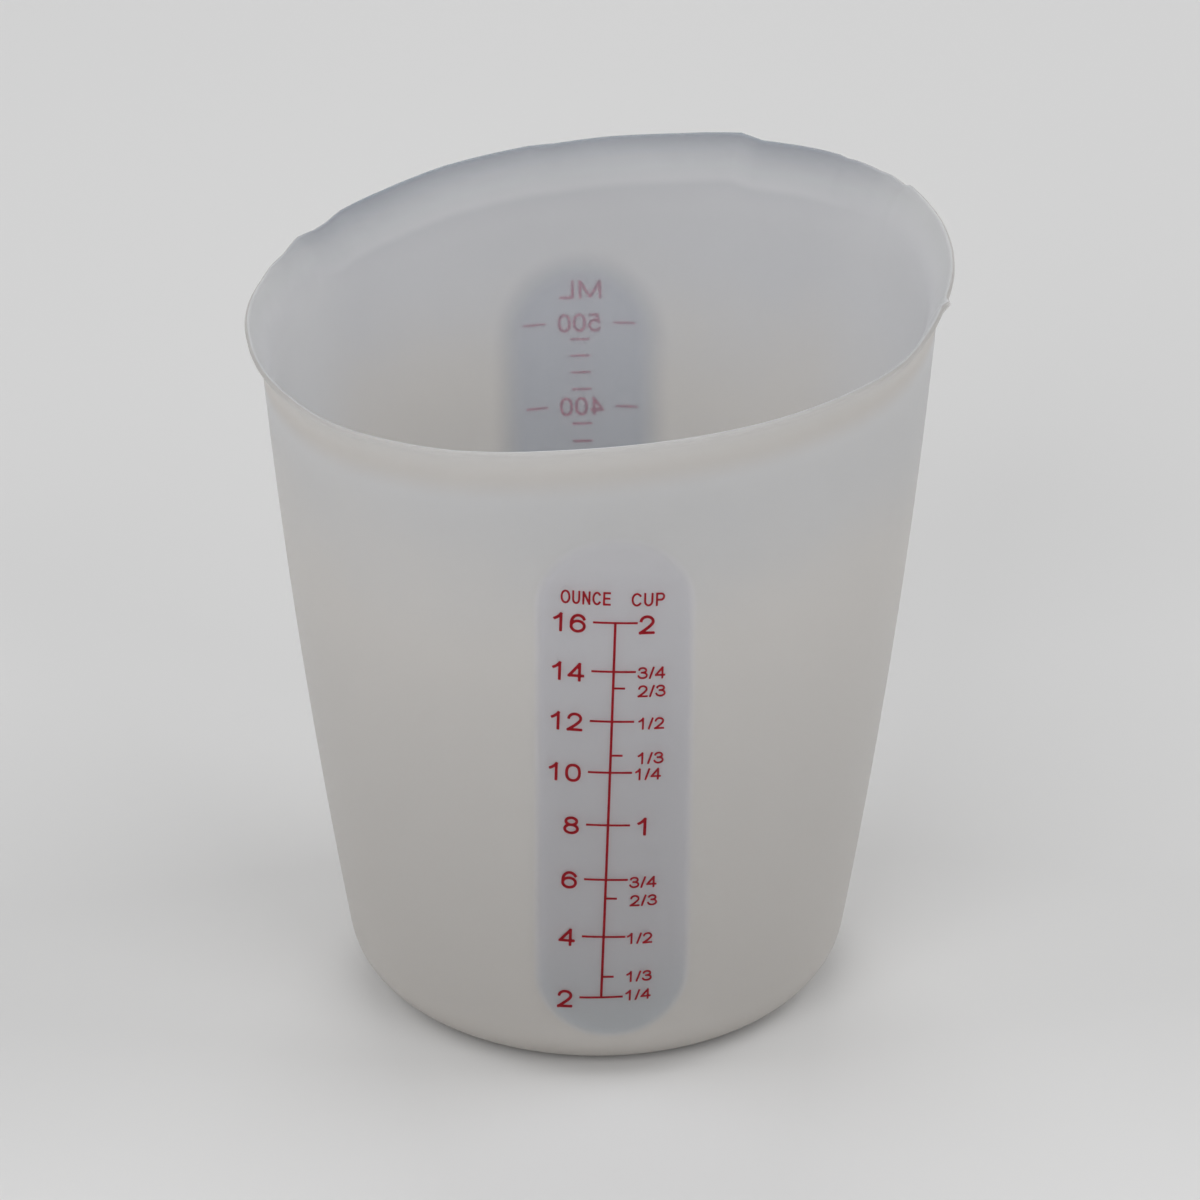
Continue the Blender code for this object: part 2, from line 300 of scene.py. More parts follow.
# Silicone: cloudiness, roughness, clearness, scatter and unevenness
CLOUD_SCALE = 45.0
CLOUD_DETAIL = 3.0
CLOUD_SHIFT = 0.02  # the height over which a cloud moves the changes of colour
ROUGHNESS = 0.42
GRAIN_ROUGHNESS = 0.06
WINDOW_ROUGHNESS = -0.08
CLEARNESS = 0.12
WINDOW_CLEARNESS = 0.2
INNER_BACK_CLEARNESS = 0.1
SILICONE_IOR = 1.41
SILICONE_SPECULAR = 0.25
SCATTER_DISTANCE = 0.012
GRAIN_SCALE = 700.0
GRAIN_DETAIL = 2.0
GRAIN_HEIGHT = 0.15
UNDULATION_SCALE = 120.0
UNDULATION_DETAIL = 1.0
SILICONE_BUMP = (0.25, 0.00015)

# Ink: two shades of each print. The back's is painted paler, a lit copy of the same red ink, for the light
# from behind that shines through it where it is read through the milky wall.
FRONT_INK = ((0.57, 0.013, 0.024, 1.0), (0.65, 0.017, 0.031, 1.0))
LIT_BACK_INK = ((0.93, 0.30, 0.40, 1.0), (0.97, 0.34, 0.44, 1.0))
INK_CLOUD_SCALE = 900.0
INK_CLOUD_DETAIL = 3.0
INK_SHADES = (0.35, 0.65)  # values of the cloud at which the first shade ends and the second is full
INK_ROUGHNESS = 0.38
INK_CLOUD_ROUGHNESS = 0.15
INK_CLEARNESS = 0.92
INK_IOR = 1.2
INK_BUMP = (0.2, 0.00003)

# Floor and world
FLOOR_SIDES = 96
FLOOR_RADIUS = 8.0
FLOOR_COLOURS = ((0.74, 0.74, 0.74, 1.0), (0.76, 0.76, 0.76, 1.0))
FLOOR_CLOUD_SCALE = 3.0
FLOOR_CLOUD_DETAIL = 2.0
FLOOR_ROUGHNESS = 0.85
WORLD_COLOUR = (1.0, 1.0, 1.0, 1.0)
WORLD_STRENGTH = 0.28

# Camera; it turns from the aim point by two small angles, and sensor and lens are in millimetres
AIM_POINT = Vector((0.0, 0.0, 0.0582))
CAMERA_ELEVATION = math.radians(28.27)
CAMERA_AZIMUTH = math.radians(-3.355)
CAMERA_DISTANCE = 1.1
CAMERA_TURN_RIGHT = math.radians(0.0272)
CAMERA_TURN_UP = math.radians(0.2641)
CAMERA_SENSOR = 36.0
CAMERA_LENS = 210.0
CAMERA_REACH = 100.0

# Lights: name, degrees to the right of the cup's front, degrees above the floor, power in watts
LIGHT_DISTANCE = 1.4
LIGHT_SIZE = 0.8
SOFTBOXES = (
    ("softbox_front_left", -28.0, 30.0, 5.8),
    ("softbox_front_right", 35.0, 30.0, 3.6),
    ("softbox_left", -90.0, 45.0, 4.0),
    ("softbox_right", 90.0, 45.0, 5.0),
    ("softbox_back", 180.0, 40.0, 3.9),
)


def clear_startup_objects():
    for thing in list(bpy.data.objects):
        bpy.data.objects.remove(thing, do_unlink=True)


def around(radius, angle, height):
    """The point at this radius, angle and height about the cup's axis."""
    return np.array([radius * math.cos(angle), radius * math.sin(angle), height])


def smooth_step(share):
    share = np.clip(share, 0.0, 1.0)
    return share * share * (3.0 - 2.0 * share)


# Shape of the shell


def side_radius(height):
    share = height / CUP_HEIGHT
    taper = FOOT_RADIUS + (MOUTH_RADIUS - FOOT_RADIUS) * share
    return taper + 4.0 * SIDE_BOW * share * (1.0 - share)


def base_corner():
    """Radius of the foot's flat, and the side's lean where the rounded corner runs into it."""
    lean = 0.0
    probe = 0.01 * CORNER_RADIUS
    for _ in range(SETTLING_ROUNDS):
        end = CORNER_RADIUS * (1.0 - math.sin(lean))
        rise = side_radius(end + probe) - side_radius(end - probe)
        lean = math.atan2(rise, 2.0 * probe)
    end = CORNER_RADIUS * (1.0 - math.sin(lean))
    return side_radius(end) - CORNER_RADIUS * math.cos(lean), lean


FOOT_FLAT, CORNER_LEAN = base_corner()


def rim_height(angle):
    slant = RIM_SLANT * math.cos(angle - RIM_SLANT_TOWARDS)
    wave = RIM_WAVE * math.cos(2.0 * (angle - RIM_WAVE_TOWARDS))
    ripple = RIM_RIPPLE * math.cos(3.0 * (angle - RIM_RIPPLE_TOWARDS))
    return CUP_HEIGHT + slant + wave + ripple


def read_round(table, angle):
    """The value that a table of angles in degrees gives at one angle."""
    degrees, values = zip(*table)
    return float(np.interp(math.degrees(angle), degrees, values, period=360.0))


def up_the_lip(heights, top):
    """0 below the lip, growing to 1 at its edge."""
    return np.clip(1.0 - (top - heights) / LIP_HEIGHT, 0.0, 1.0)


def outside_line(angle, rows=OUTSIDE_ROWS, fault=0.0):
    """Radii and heights up the outside at one angle, from the foot's flat to the lip's edge."""
    turn = np.linspace(0.0, math.pi / 2.0 - CORNER_LEAN, CORNER_ROWS + 1)
    corner_radii = FOOT_FLAT + CORNER_RADIUS * np.sin(turn)
    corner_heights = CORNER_RADIUS * (1.0 - np.cos(turn))

    top = rim_height(angle) + fault
    side = np.linspace(corner_heights[-1], top - LIP_HEIGHT, rows + 1)[1:]
    lip = np.linspace(top - LIP_HEIGHT, top, LIP_ROWS + 1)[1:]
    side_heights = np.concatenate([side, lip])
    side_radii = side_radius(side_heights) + LIP_FLARE * up_the_lip(side_heights, top) ** LIP_CURL

    radii = np.concatenate([corner_radii, side_radii])
    heights = np.concatenate([corner_heights, side_heights])
    growth = (heights / CUP_HEIGHT) ** OVALITY_GROWTH
    oval = MOUTH_OVALITY * growth * math.cos(2.0 * (angle - MOUTH_LONG_AXIS))
    return radii * (1.0 + oval), heights


def window_depth(angle, radii, heights):
    """How far the points at one angle lie inside the edge of a window; below zero outside both."""
    past_an_end = heights - np.clip(heights, LOWER_END, UPPER_END)
    deepest = np.full_like(heights, -math.inf)
    for middle in (FRONT, BACK):
        turn = math.remainder(angle - middle, 2.0 * math.pi)
        deepest = np.maximum(deepest, WINDOW_HALF - np.hypot(turn * radii, past_an_end))
    return deepest


def inside_line(angle, rows=OUTSIDE_ROWS, fault=0.0, window_ramp=WINDOW_RAMP):
    """Radii and heights up the inside at one angle, from the floor's edge to the lip's edge."""
    radii, heights = outside_line(angle, rows, fault)
    outward = np.gradient(radii)
    upward = np.gradient(heights)
    upward[0] = 0.0
    length = np.hypot(outward, upward)

    corner_top = heights[CORNER_ROWS]
    thickness = FLOOR_THICKNESS + (WALL_THICKNESS - FLOOR_THICKNESS) * smooth_step(heights / corner_top)
    start, end = window_ramp
    into_window = (window_depth(angle, radii, heights) - start) / (end - start)
    thickness -= WINDOW_THINNING * smooth_step(into_window)
    thickness -= LIP_THINNING * smooth_step(up_the_lip(heights, rim_height(angle) + fault))
    return radii - thickness * upward / length, heights + thickness * outward / length


def lip_edge(outer, inner, below):
    """Half circle over the lip from its outer corner to its inner one."""
    middle = (outer + inner) / 2.0
    half = (outer - inner) / 2.0
    onward = (outer - below) / np.linalg.norm(outer - below) * np.linalg.norm(half)
    turns = np.linspace(0.0, math.pi, EDGE_ROWS + 1)[1:-1]
    return [middle + half * math.cos(turn) + onward * math.sin(turn) for turn in turns]


def section(angle):
    """The shell's whole section at one angle as (radius, height) points, without its two centres."""
    fault = read_round(RIM_STEPS, angle)
    outside = np.column_stack(outside_line(angle, OUTSIDE_ROWS, fault))
    inside = np.column_stack(inside_line(angle, OUTSIDE_ROWS, fault, SHELL_WINDOW_RAMP))
    bent = read_round(RIM_BENDS, angle) * np.linspace(0.0, 1.0, LIP_ROWS + 1) ** LIP_CURL
    outside[-LIP_ROWS - 1:, 0] += bent
    inside[-LIP_ROWS - 1:, 0] += bent
    edge = lip_edge(outside[-1], inside[-1], outside[-2])

    ring_inner = FOOT_FLAT - FOOT_RING_WIDTH
    recess = ring_inner - FOOT_RECESS
    underside = [(recess * ring / FLOOR_RINGS, FOOT_RECESS) for ring in range(1, FLOOR_RINGS + 1)]
    underside.append((ring_inner, 0.0))
    floor_edge, floor_height = inside[0]
    floor = [(floor_edge * ring / FLOOR_RINGS, floor_height) for ring in range(FLOOR_RINGS - 1, 0, -1)]
    return np.array([*underside, *outside, *edge, *inside[::-1], *floor])


def make_mesh_object(name, points, faces, material):
    mesh = bpy.data.meshes.new(name)
    mesh.from_pydata(points, [], faces)
    mesh.update()
    mesh.materials.append(material)
    mesh.shade_smooth()
    mesh.set_sharp_from_angle(angle=SHARP_EDGE)
    thing = bpy.data.objects.new(name, mesh)
    bpy.context.scene.collection.objects.link(thing)
    return thing


def add_attribute(thing, name, values):
    """Give each point of a mesh one number that its material can read."""
    attribute = thing.data.attributes.new(name, "FLOAT", "POINT")
    attribute.data.foreach_set("value", values)


def make_shell(material):
    """Loft the fine sections round the cup and close the underside and the floor."""
    points = []
    near_rim = []
    for angle in np.linspace(0.0, 2.0 * math.pi, COLUMNS, endpoint=False):
        across, heights = section(angle).T
        points.extend(zip(across * math.cos(angle), across * math.sin(angle), heights))
        near_rim.extend(np.clip(1.0 - (heights.max() - heights) / RIM_BAND, 0.0, 1.0))
    rows = len(points) // COLUMNS
    underside = len(points)
    points.append((0.0, 0.0, FOOT_RECESS))
    floor = len(points)
    points.append((0.0, 0.0, FLOOR_THICKNESS))

    faces = []
    for column in range(COLUMNS):
        here = column * rows
        following = (column + 1) % COLUMNS * rows
        faces.append((underside, following, here))
        faces.append((floor, here + rows - 1, following + rows - 1))
        for row in range(rows - 1):
            faces.append((here + row, following + row, following + row + 1, here + row + 1))
    shell = make_mesh_object("silicone_shell", points, faces, material)

    # The section turns in at the middle of the lip's edge; the two centres are the last points
    turning_in = FLOOR_RINGS + 1 + CORNER_ROWS + 1 + OUTSIDE_ROWS + LIP_ROWS + EDGE_ROWS // 2
    within = np.tile(np.arange(rows) > turning_in, COLUMNS)
    add_attribute(shell, "near_rim", [*near_rim, 0.0, 0.0])
    add_attribute(shell, "inside", [*within.astype(float), 0.0, 1.0])
    return shell


# Places on the wall


def volume_heights(volumes):
    """Heights that liquid of these volumes reaches, from the real inside of the cup."""
    angles = np.linspace(0.0, 2.0 * math.pi, VOLUME_ANGLES, endpoint=False)
    lines = [inside_line(angle, PROFILE_ROWS) for angle in angles]
    brim = min(heights[-1] for _, heights in lines)
    levels = np.linspace(FLOOR_THICKNESS, brim, VOLUME_SLICES)
    radii = np.array([np.interp(levels, heights, radii) for radii, heights in lines])
    areas = math.pi * np.mean(radii**2, axis=0)
    slices = (areas[1:] + areas[:-1]) / 2.0 * np.diff(levels)
    return np.interp(volumes, np.concatenate([[0.0], np.cumsum(slices)]), levels)


def mark_slant(middle, height):
    """How much a mark at one height of a print slopes down to the reader's right."""
    most = FRONT_MARK_SLANT if middle == FRONT else BACK_MARK_SLANT
    return most * (1.0 - (LEVEL_MARK_HEIGHT / height) ** 2)


def on_the_wall(middle, top, across, height):
    """The wall's point and its outward direction at a place on a leaning print."""
    drop = height - top
    slant = mark_slant(middle, height)
    leant_across = across * math.cos(slant) + drop * math.sin(PRINT_LEAN)
    leant_height = top + drop * math.cos(PRINT_LEAN) - across * math.sin(slant)
    line_radii, line_heights = outside_line(middle)
    angle = middle + leant_across / np.interp(leant_height, line_heights, line_radii)
    line_radii, line_heights = outside_line(angle)
    probes = [leant_height, leant_height + WALL_PROBE, leant_height - WALL_PROBE]
    radius, above, below = np.interp(probes, line_heights, line_radii)
    lean = math.atan2(above - below, 2.0 * WALL_PROBE)
    return around(radius, angle, leant_height), around(math.cos(lean), angle, -math.sin(lean))


# Lettering: each glyph is a set of strokes in a box that is 1 wide and 1 high between the strokes'
# middle lines. Its bearing, width and advance are shares of the lettering's height.


def arc(middle_x, middle_y, reach_x, reach_y, start, end):
    """Points along part of an ellipse, from one angle to another in degrees."""
    turns = np.radians(np.linspace(start, end, ARC_PIECES + 1))
    return [(middle_x + reach_x * math.cos(turn), middle_y + reach_y * math.sin(turn)) for turn in turns]


def ring(middle_x, middle_y, reach_x, reach_y, squareness=2.0):
    """A closed loop, round at squareness 2 and with straighter sides above it."""
    points = []
    for turn in np.linspace(0.0, 2.0 * math.pi, RING_PIECES + 1):
        cos, sin = math.cos(turn), math.sin(turn)
        across = math.copysign(abs(cos) ** (2.0 / squareness), cos)
        up = math.copysign(abs(sin) ** (2.0 / squareness), sin)
        points.append((middle_x + reach_x * across, middle_y + reach_y * up))
    return points


def bend(start, control, end):
    """Points along a quadratic curve."""
    points = []
    for share in np.linspace(0.0, 1.0, BEND_PIECES + 1):
        left = [a + (b - a) * share for a, b in zip(start, control)]
        right = [a + (b - a) * share for a, b in zip(control, end)]
        points.append(tuple(a + (b - a) * share for a, b in zip(left, right)))
    return points


GLYPHS = {
    "0": (0.06, 0.66, 0.776, [ring(0.5, 0.5, 0.5, 0.5, 2.4)]),
    "1": (0.152, 0.37, 0.776, [
        [(1.0, 0.0), (1.0, 1.0)],
        bend((0.0, 0.72), (0.62, 0.82), (0.98, 1.0)),
    ]),
    "2": (0.042, 0.662, 0.776, [
        [*arc(0.5, 0.71, 0.46, 0.29, 172.0, -28.0), *bend((0.9, 0.57), (0.74, 0.38), (0.02, 0.0))],
        [(0.0, 0.0), (1.0, 0.0)],
    ]),
    "3": (0.059, 0.659, 0.776, [
        [*arc(0.47, 0.77, 0.43, 0.23, 168.0, -90.0), (0.36, 0.54)],
        [(0.36, 0.54), *arc(0.48, 0.27, 0.52, 0.27, 90.0, -168.0)],
    ]),
    "4": (0.018, 0.691, 0.776, [
        [(0.76, 0.0), (0.76, 1.0)],
        [(0.0, 0.27), (1.0, 0.27)],
        [(0.02, 0.28), (0.74, 0.98)],
    ]),
    "5": (0.059, 0.663, 0.776, [
        [(0.22, 1.0), (0.92, 1.0)],
        [(0.22, 0.99), (0.07, 0.5), *arc(0.48, 0.33, 0.52, 0.33, 140.0, -150.0)],
    ]),
    "6": (0.053, 0.665, 0.776, [
        ring(0.5, 0.32, 0.5, 0.32),
        [*arc(0.53, 0.5, 0.53, 0.5, 34.0, 180.0), (0.0, 0.34)],
    ]),
    "8": (0.057, 0.66, 0.776, [ring(0.5, 0.77, 0.42, 0.23), ring(0.5, 0.27, 0.5, 0.27)]),
    "/": (0.02, 0.35, 0.388, [[(0.0, 0.0), (1.0, 1.0)]]),
    "O": (0.067, 0.96, 1.087, [ring(0.5, 0.5, 0.5, 0.5, 2.15)]),
    "U": (0.11, 0.785, 1.008, [[(0.0, 1.0), *arc(0.5, 0.36, 0.5, 0.36, 180.0, 360.0), (1.0, 1.0)]]),
    "N": (0.106, 0.79, 1.008, [
        [(0.0, 0.0), (0.0, 1.0)],
        [(1.0, 0.0), (1.0, 1.0)],
        [(0.02, 0.98), (0.98, 0.02)],
    ]),
    "C": (0.07, 0.888, 1.008, [arc(0.52, 0.5, 0.52, 0.5, 42.0, 318.0)]),
    "E": (0.11, 0.758, 0.93, [
        [(0.0, 0.0), (0.0, 1.0)],
        [(0.0, 1.0), (1.0, 1.0)],
        [(0.0, 0.52), (0.92, 0.52)],
        [(0.0, 0.0), (1.0, 0.0)],
    ]),
    "P": (0.108, 0.761, 0.93, [
        [(0.0, 0.0), (0.0, 1.0)],
        [(0.0, 1.0), *arc(0.58, 0.73, 0.42, 0.27, 90.0, -90.0), (0.0, 0.46)],
    ]),
    "M": (0.103, 0.955, 1.163, [
        [(0.0, 0.0), (0.0, 1.0)],
        [(1.0, 0.0), (1.0, 1.0)],
        [(0.02, 0.98), (0.5, 0.02), (0.98, 0.98)],
    ]),
    "L": (0.102, 0.626, 0.777, [[(0.0, 0.0), (0.0, 1.0)], [(0.0, 0.0), (1.0, 0.0)]]),
}


def text_strokes(text, style):
    """Strokes of a whole text in metres, from its left edge at 0 and its middle height at 0."""
    height, stroke, stretch = style
    half = stroke / 2.0
    strokes = []
    pen = 0.0
    for letter in text:
        bearing, width, advance, shapes = GLYPHS[letter]
        left = pen + bearing * height * stretch
        room = width * height * stretch - stroke
        for shape in shapes:
            line = [(left + half + x * room, half + y * (height - stroke) - height / 2.0) for x, y in shape]
            strokes.append(np.array(line))
        pen += advance * height * stretch
    start = min(line[:, 0].min() for line in strokes) - half
    return [line - np.array([start, 0.0]) for line in strokes]


def right_edge(strokes, style):
    return max(line[:, 0].max() for line in strokes) + style.stroke / 2.0


def text_width(text, style):
    return right_edge(text_strokes(text, style), style)


def stroke_field(across, up, line, half):
    """How far the grid's points lie outside one stroke with square ends; below zero inside it."""
    nearest = np.full(across.shape, math.inf)
    closed = np.allclose(line[0], line[-1])
    last = len(line) - 2
    for index, (start, end) in enumerate(zip(line[:-1], line[1:])):
        run = end - start
        length = np.hypot(*run)
        if length == 0.0:
            continue
        along_x, along_y = run / length
        along = (across - start[0]) * along_x + (up - start[1]) * along_y
        aside = np.abs((up - start[1]) * along_x - (across - start[0]) * along_y)
        past = np.maximum(-along, along - length)
        square = np.zeros(across.shape, dtype=bool)
        if not closed and index == 0:
            square |= along < 0.0
        if not closed and index == last:
            square |= along > length
        round_end = np.hypot(aside, np.maximum(past, 0.0))
        distance = np.where(square, np.maximum(aside, past), round_end)
        nearest = np.minimum(nearest, distance)
    return nearest - half


def ink_outline_cells(field, xs, ys):
    """Polygons that cover the part of each grid cell where the field is below zero."""
    corners = {}
    points = []
    polygons = []

    def grid_point(column, row):
        key = (column, row)
        if key not in corners:
            corners[key] = len(points)
            points.append((xs[column], ys[row]))
        return corners[key]

    def edge_point(first, second):
        key = (first, second) if first < second else (second, first)
        if key not in corners:
            (c0, r0), (c1, r1) = key
            share = field[r0, c0] / (field[r0, c0] - field[r1, c1])
            share = min(max(share, LEAST_SHARE), 1.0 - LEAST_SHARE)
            corners[key] = len(points)
            points.append((xs[c0] + (xs[c1] - xs[c0]) * share, ys[r0] + (ys[r1] - ys[r0]) * share))
        return corners[key]

    for row in range(len(ys) - 1):
        for column in range(len(xs) - 1):
            square = [(column, row), (column + 1, row), (column + 1, row + 1), (column, row + 1)]
            wet = [field[r, c] < 0.0 for c, r in square]
            if not any(wet):
                continue
            polygon = []
            for side in range(4):
                here, following = square[side], square[(side + 1) % 4]
                if wet[side]:
                    polygon.append(grid_point(*here))
                if wet[side] != wet[(side + 1) % 4]:
                    polygon.append(edge_point(here, following))
            polygons.append(polygon)
    return points, polygons


def text_polygons(text, style):
    """The inked area of a text as flat points, and polygons of their numbers."""
    strokes = text_strokes(text, style)
    cell = style.stroke / CELLS_PER_STROKE
    margin = MARGIN_CELLS * cell
    xs = np.arange(-margin, right_edge(strokes, style) + margin + cell, cell)
    ys = np.arange(-style.height / 2.0 - margin, style.height / 2.0 + margin + cell, cell)
    across, up = np.meshgrid(xs, ys)
    field = np.full(across.shape, math.inf)
    for line in strokes:
        field = np.minimum(field, stroke_field(across, up, line, style.stroke / 2.0))
    return ink_outline_cells(field, xs, ys)


def open_edges(polygons):
    """The polygons' edges that no other polygon shares."""
    edges = {}
    for polygon in polygons:
        for start, end in zip(polygon, [*polygon[1:], polygon[0]]):
            edges[(start, end)] = True
    return [(start, end) for start, end in edges if (end, start) not in edges]


def make_label(name, text, middle, top, left, centre, style, material):
    """A text as one thin layer of ink on the wall; left and centre are metres across and up the print."""
    flat, polygons = text_polygons(text, style)
    outer = []
    inner = []
    for x, y in flat:
        point, outward = on_the_wall(middle, top, left + x, centre + y)
        outer.append(tuple(point + outward * (INK_GAP + INK_THICKNESS)))
        inner.append(tuple(point + outward * INK_GAP))
    count = len(flat)
    faces = [tuple(polygon) for polygon in polygons]
    faces += [tuple(index + count for index in reversed(polygon)) for polygon in polygons]
    faces += [(start, start + count, end + count, end) for start, end in open_edges(polygons)]
    return make_mesh_object(name, outer + inner, faces, material)


def front_texts():
    """Height of the front's highest mark, then rows of name, text, left edge, middle height and style."""
    amounts = range(2, 17, 2)
    marks = volume_heights([ounces * FLUID_OUNCE for ounces in amounts])
    top = marks[-1]
    rows = []
    for ounces, mark in zip(amounts, marks):
        left = OUNCE_NUMBERS_RIGHT - text_width(str(ounces), NUMERALS)
        rows.append((f"ounce_number_{ounces}", str(ounces), left, mark + OUNCE_NUMBERS_RISE, NUMERALS))

    marks = volume_heights([ounces * FLUID_OUNCE for _, ounces, _, _ in CUP_TEXTS])
    for (text, ounces, left, drop), mark in zip(CUP_TEXTS, marks):
        name = f"cup_number_{text.replace('/', '_')}_at_{round(ounces * 10)}"
        rows.append((name, text, left, mark - drop, FRACTIONS if "/" in text else NUMERALS))

    rows.append(("word_ounce", "OUNCE", OUNCE_WORD_LEFT, top + OUNCE_WORD_RISE, OUNCE_WORD))
    rows.append(("word_cup", "CUP", CUP_WORD_LEFT, top + CUP_WORD_RISE, CUP_WORD))
    return top, rows


def back_texts():
    """The same for the back, where each text is centred."""
    amounts = range(100, 501, 100)
    marks = volume_heights([amount * MILLILITRE for amount in amounts])
    top = marks[-1]
    rows = []
    for amount, mark in zip(amounts, marks):
        left = -text_width(str(amount), BACK_NUMERALS) / 2.0
        rows.append((f"millilitre_number_{amount}", str(amount), left, mark, BACK_NUMERALS))
    left = BACK_WORD_SHIFT - text_width("ML", BACK_WORD) / 2.0
    rows.append(("word_ml", "ML", left, top + BACK_WORD_RISE, BACK_WORD))
    return top, rows


def make_lettering(material):
    labels = []
    for middle, (top, rows) in ((FRONT, front_texts()), (BACK, back_texts())):
        for name, text, left, centre, style in rows:
            labels.append(make_label(name, text, middle, top, left, centre, style, material))
    return labels


# Materials


class Graph:
    """A material's node tree, with short calls for the nodes that this scene uses."""

    def __init__(self, name):
        self.material = bpy.data.materials.new(name)
        self.material.use_nodes = True
        self.tree = self.material.node_tree
        self.shader = self.tree.nodes["Principled BSDF"]
        self.place = self.node("ShaderNodeTexCoord").outputs["Object"]

    def node(self, kind, **settings):
        node = self.tree.nodes.new(kind)
        for key, value in settings.items():
            setattr(node, key, value)
        return node

    def connect(self, source, target):
        """Link an output to an input, or set the input when the source is a plain value."""
        if isinstance(source, bpy.types.NodeSocket):
            self.tree.links.new(source, target)
        else:
            target.default_value = source

    def coordinates(self):
        node = self.node("ShaderNodeSeparateXYZ")
        self.connect(self.place, node.inputs[0])
        return node.outputs

    def math(self, operation, first, second=0.0, third=0.0):
        node = self.node("ShaderNodeMath", operation=operation)
        for socket, value in zip(node.inputs, (first, second, third)):
            self.connect(value, socket)
        return node.outputs[0]

    def times(self, first, second):
        return self.math("MULTIPLY", first, second)

    def length(self, first, second):
        """Length of the long side of a right-angled triangle."""
        return self.math("SQRT", self.math("ADD", self.times(first, first), self.times(second, second)))

    def smooth(self, value, low, high, start=0.0, end=1.0):
        """Smoothly from start to end while the value goes from low to high."""
        node = self.node("ShaderNodeMapRange", interpolation_type="SMOOTHSTEP")
        for socket, item in zip(node.inputs, (value, low, high, start, end)):
            self.connect(item, socket)
        return node.outputs[0]

    def attribute(self, name):
        return self.node("ShaderNodeAttribute", attribute_name=name).outputs["Fac"]

    def noise(self, scale, detail):
        node = self.node("ShaderNodeTexNoise")
        self.connect(self.place, node.inputs["Vector"])
        node.inputs["Scale"].default_value = scale
        node.inputs["Detail"].default_value = detail
        return node.outputs[0]

    def mix(self, share, first, second):
        node = self.node("ShaderNodeMix", data_type="FLOAT")
        self.connect(share, node.inputs[0])
        self.connect(first, node.inputs[2])
        self.connect(second, node.inputs[3])
        return node.outputs[0]

    def mix_colour(self, share, first, second):
        node = self.node("ShaderNodeMix", data_type="RGBA")
        self.connect(share, node.inputs["Factor"])
        self.connect(first, node.inputs[6])
        self.connect(second, node.inputs[7])
        return node.outputs[2]

    def bump(self, height, strength, distance):
        node = self.node("ShaderNodeBump")
        node.inputs["Strength"].default_value = strength
        node.inputs["Distance"].default_value = distance
        self.connect(height, node.inputs["Height"])
        self.connect(node.outputs[0], self.shader.inputs["Normal"])

    def set(self, name, value):
        self.connect(value, self.shader.inputs[name])


class Spot(NamedTuple):
    """A place on the moulding, as node outputs: where it is, and which part of the moulding it is."""

    x: bpy.types.NodeSocket
    y: bpy.types.NodeSocket
    z: bpy.types.NodeSocket
    inside: bpy.types.NodeSocket
    near_rim: bpy.types.NodeSocket
    window: bpy.types.NodeSocket


def window_share(graph, x, y, z, inside):
    """How much of the clear look a place has, the same on the front and the back."""
    turn = graph.math("ARCTAN2", graph.math("ABSOLUTE", x), graph.math("ABSOLUTE", y))
    across = graph.times(turn, graph.length(x, y))
    between_ends = graph.math("MINIMUM", graph.math("MAXIMUM", z, LOWER_END), UPPER_END)
    away = graph.length(across, graph.math("SUBTRACT", z, between_ends))
    depth = graph.math("SUBTRACT", WINDOW_HALF, away)
    outer = graph.times(graph.smooth(depth, *OUTER_WINDOW_EDGE), graph.smooth(z, *OUTER_WINDOW_FADE))
    return graph.mix(inside, outer, graph.smooth(depth, *INNER_WINDOW_EDGE))


def wall_colour(graph, spot):
    """The wall's colour, which changes with height, with the windows' colours over it. Painted shade
    darkens the foot, the upper wall and the windows' inside; painted light brightens the inside floor.
    """
    level = graph.math("MULTIPLY_ADD", graph.noise(CLOUD_SCALE, CLOUD_DETAIL), CLOUD_SHIFT, spot.z)
    colour = graph.mix_colour(graph.smooth(level, *LOWER_TO_MIDDLE), LOWER_COLOUR, MIDDLE_COLOUR)
    # Painted shade at the foot, fading out upwards from the floor
    colour = graph.mix_colour(graph.smooth(spot.z, *FOOT_SHADE_TO_LOWER), FOOT_SHADE_COLOUR, colour)
    # Painted shade towards the top of the wall
    upper = graph.mix_colour(spot.inside, UPPER_SHADE_COLOUR, INNER_UPPER_SHADE_COLOUR)
    colour = graph.mix_colour(graph.smooth(level, *MIDDLE_TO_UPPER_SHADE), colour, upper)
    # Painted light on the inside floor
    painted_floor_light = graph.times(spot.inside, graph.smooth(spot.z, *INNER_FLOOR_LIGHT))
    colour = graph.mix_colour(painted_floor_light, colour, INNER_FLOOR_LIGHT_COLOUR)

    up_outer = graph.smooth(spot.z, *UP_OUTER_WINDOW)
    up_inner = graph.smooth(spot.z, *UP_INNER_WINDOW_SHADE)
    outer = graph.mix_colour(up_outer, LOW_OUTER_WINDOW_COLOUR, OUTER_WINDOW_COLOUR)
    # Painted shade on the windows' inside
    inner = graph.mix_colour(up_inner, LOW_INNER_WINDOW_SHADE_COLOUR, INNER_WINDOW_SHADE_COLOUR)
    return graph.mix_colour(spot.window, colour, graph.mix_colour(spot.inside, outer, inner))


def with_milky_places(graph, spot, colour):
    """Painted light: the inside is lighter at its left and right ends, more at the left, and a painted
    highlight band runs under the lip between them.
    """
    aside = graph.math("ABSOLUTE", spot.x)
    ends = graph.times(graph.smooth(aside, *LIGHT_AT_ENDS), graph.smooth(spot.x, *LIGHT_LEFT_TO_RIGHT))
    ends = graph.times(ends, graph.smooth(spot.near_rim, *LIGHT_AT_ENDS_BY_RIM))
    band = graph.times(graph.smooth(spot.near_rim, *HIGHLIGHT_BAND), graph.smooth(aside, *HIGHLIGHT_BAND_ENDS))
    painted_light = graph.times(spot.inside, graph.math("MAXIMUM", ends, band))
    return graph.mix_colour(painted_light, colour, INSIDE_LIGHT_COLOUR)


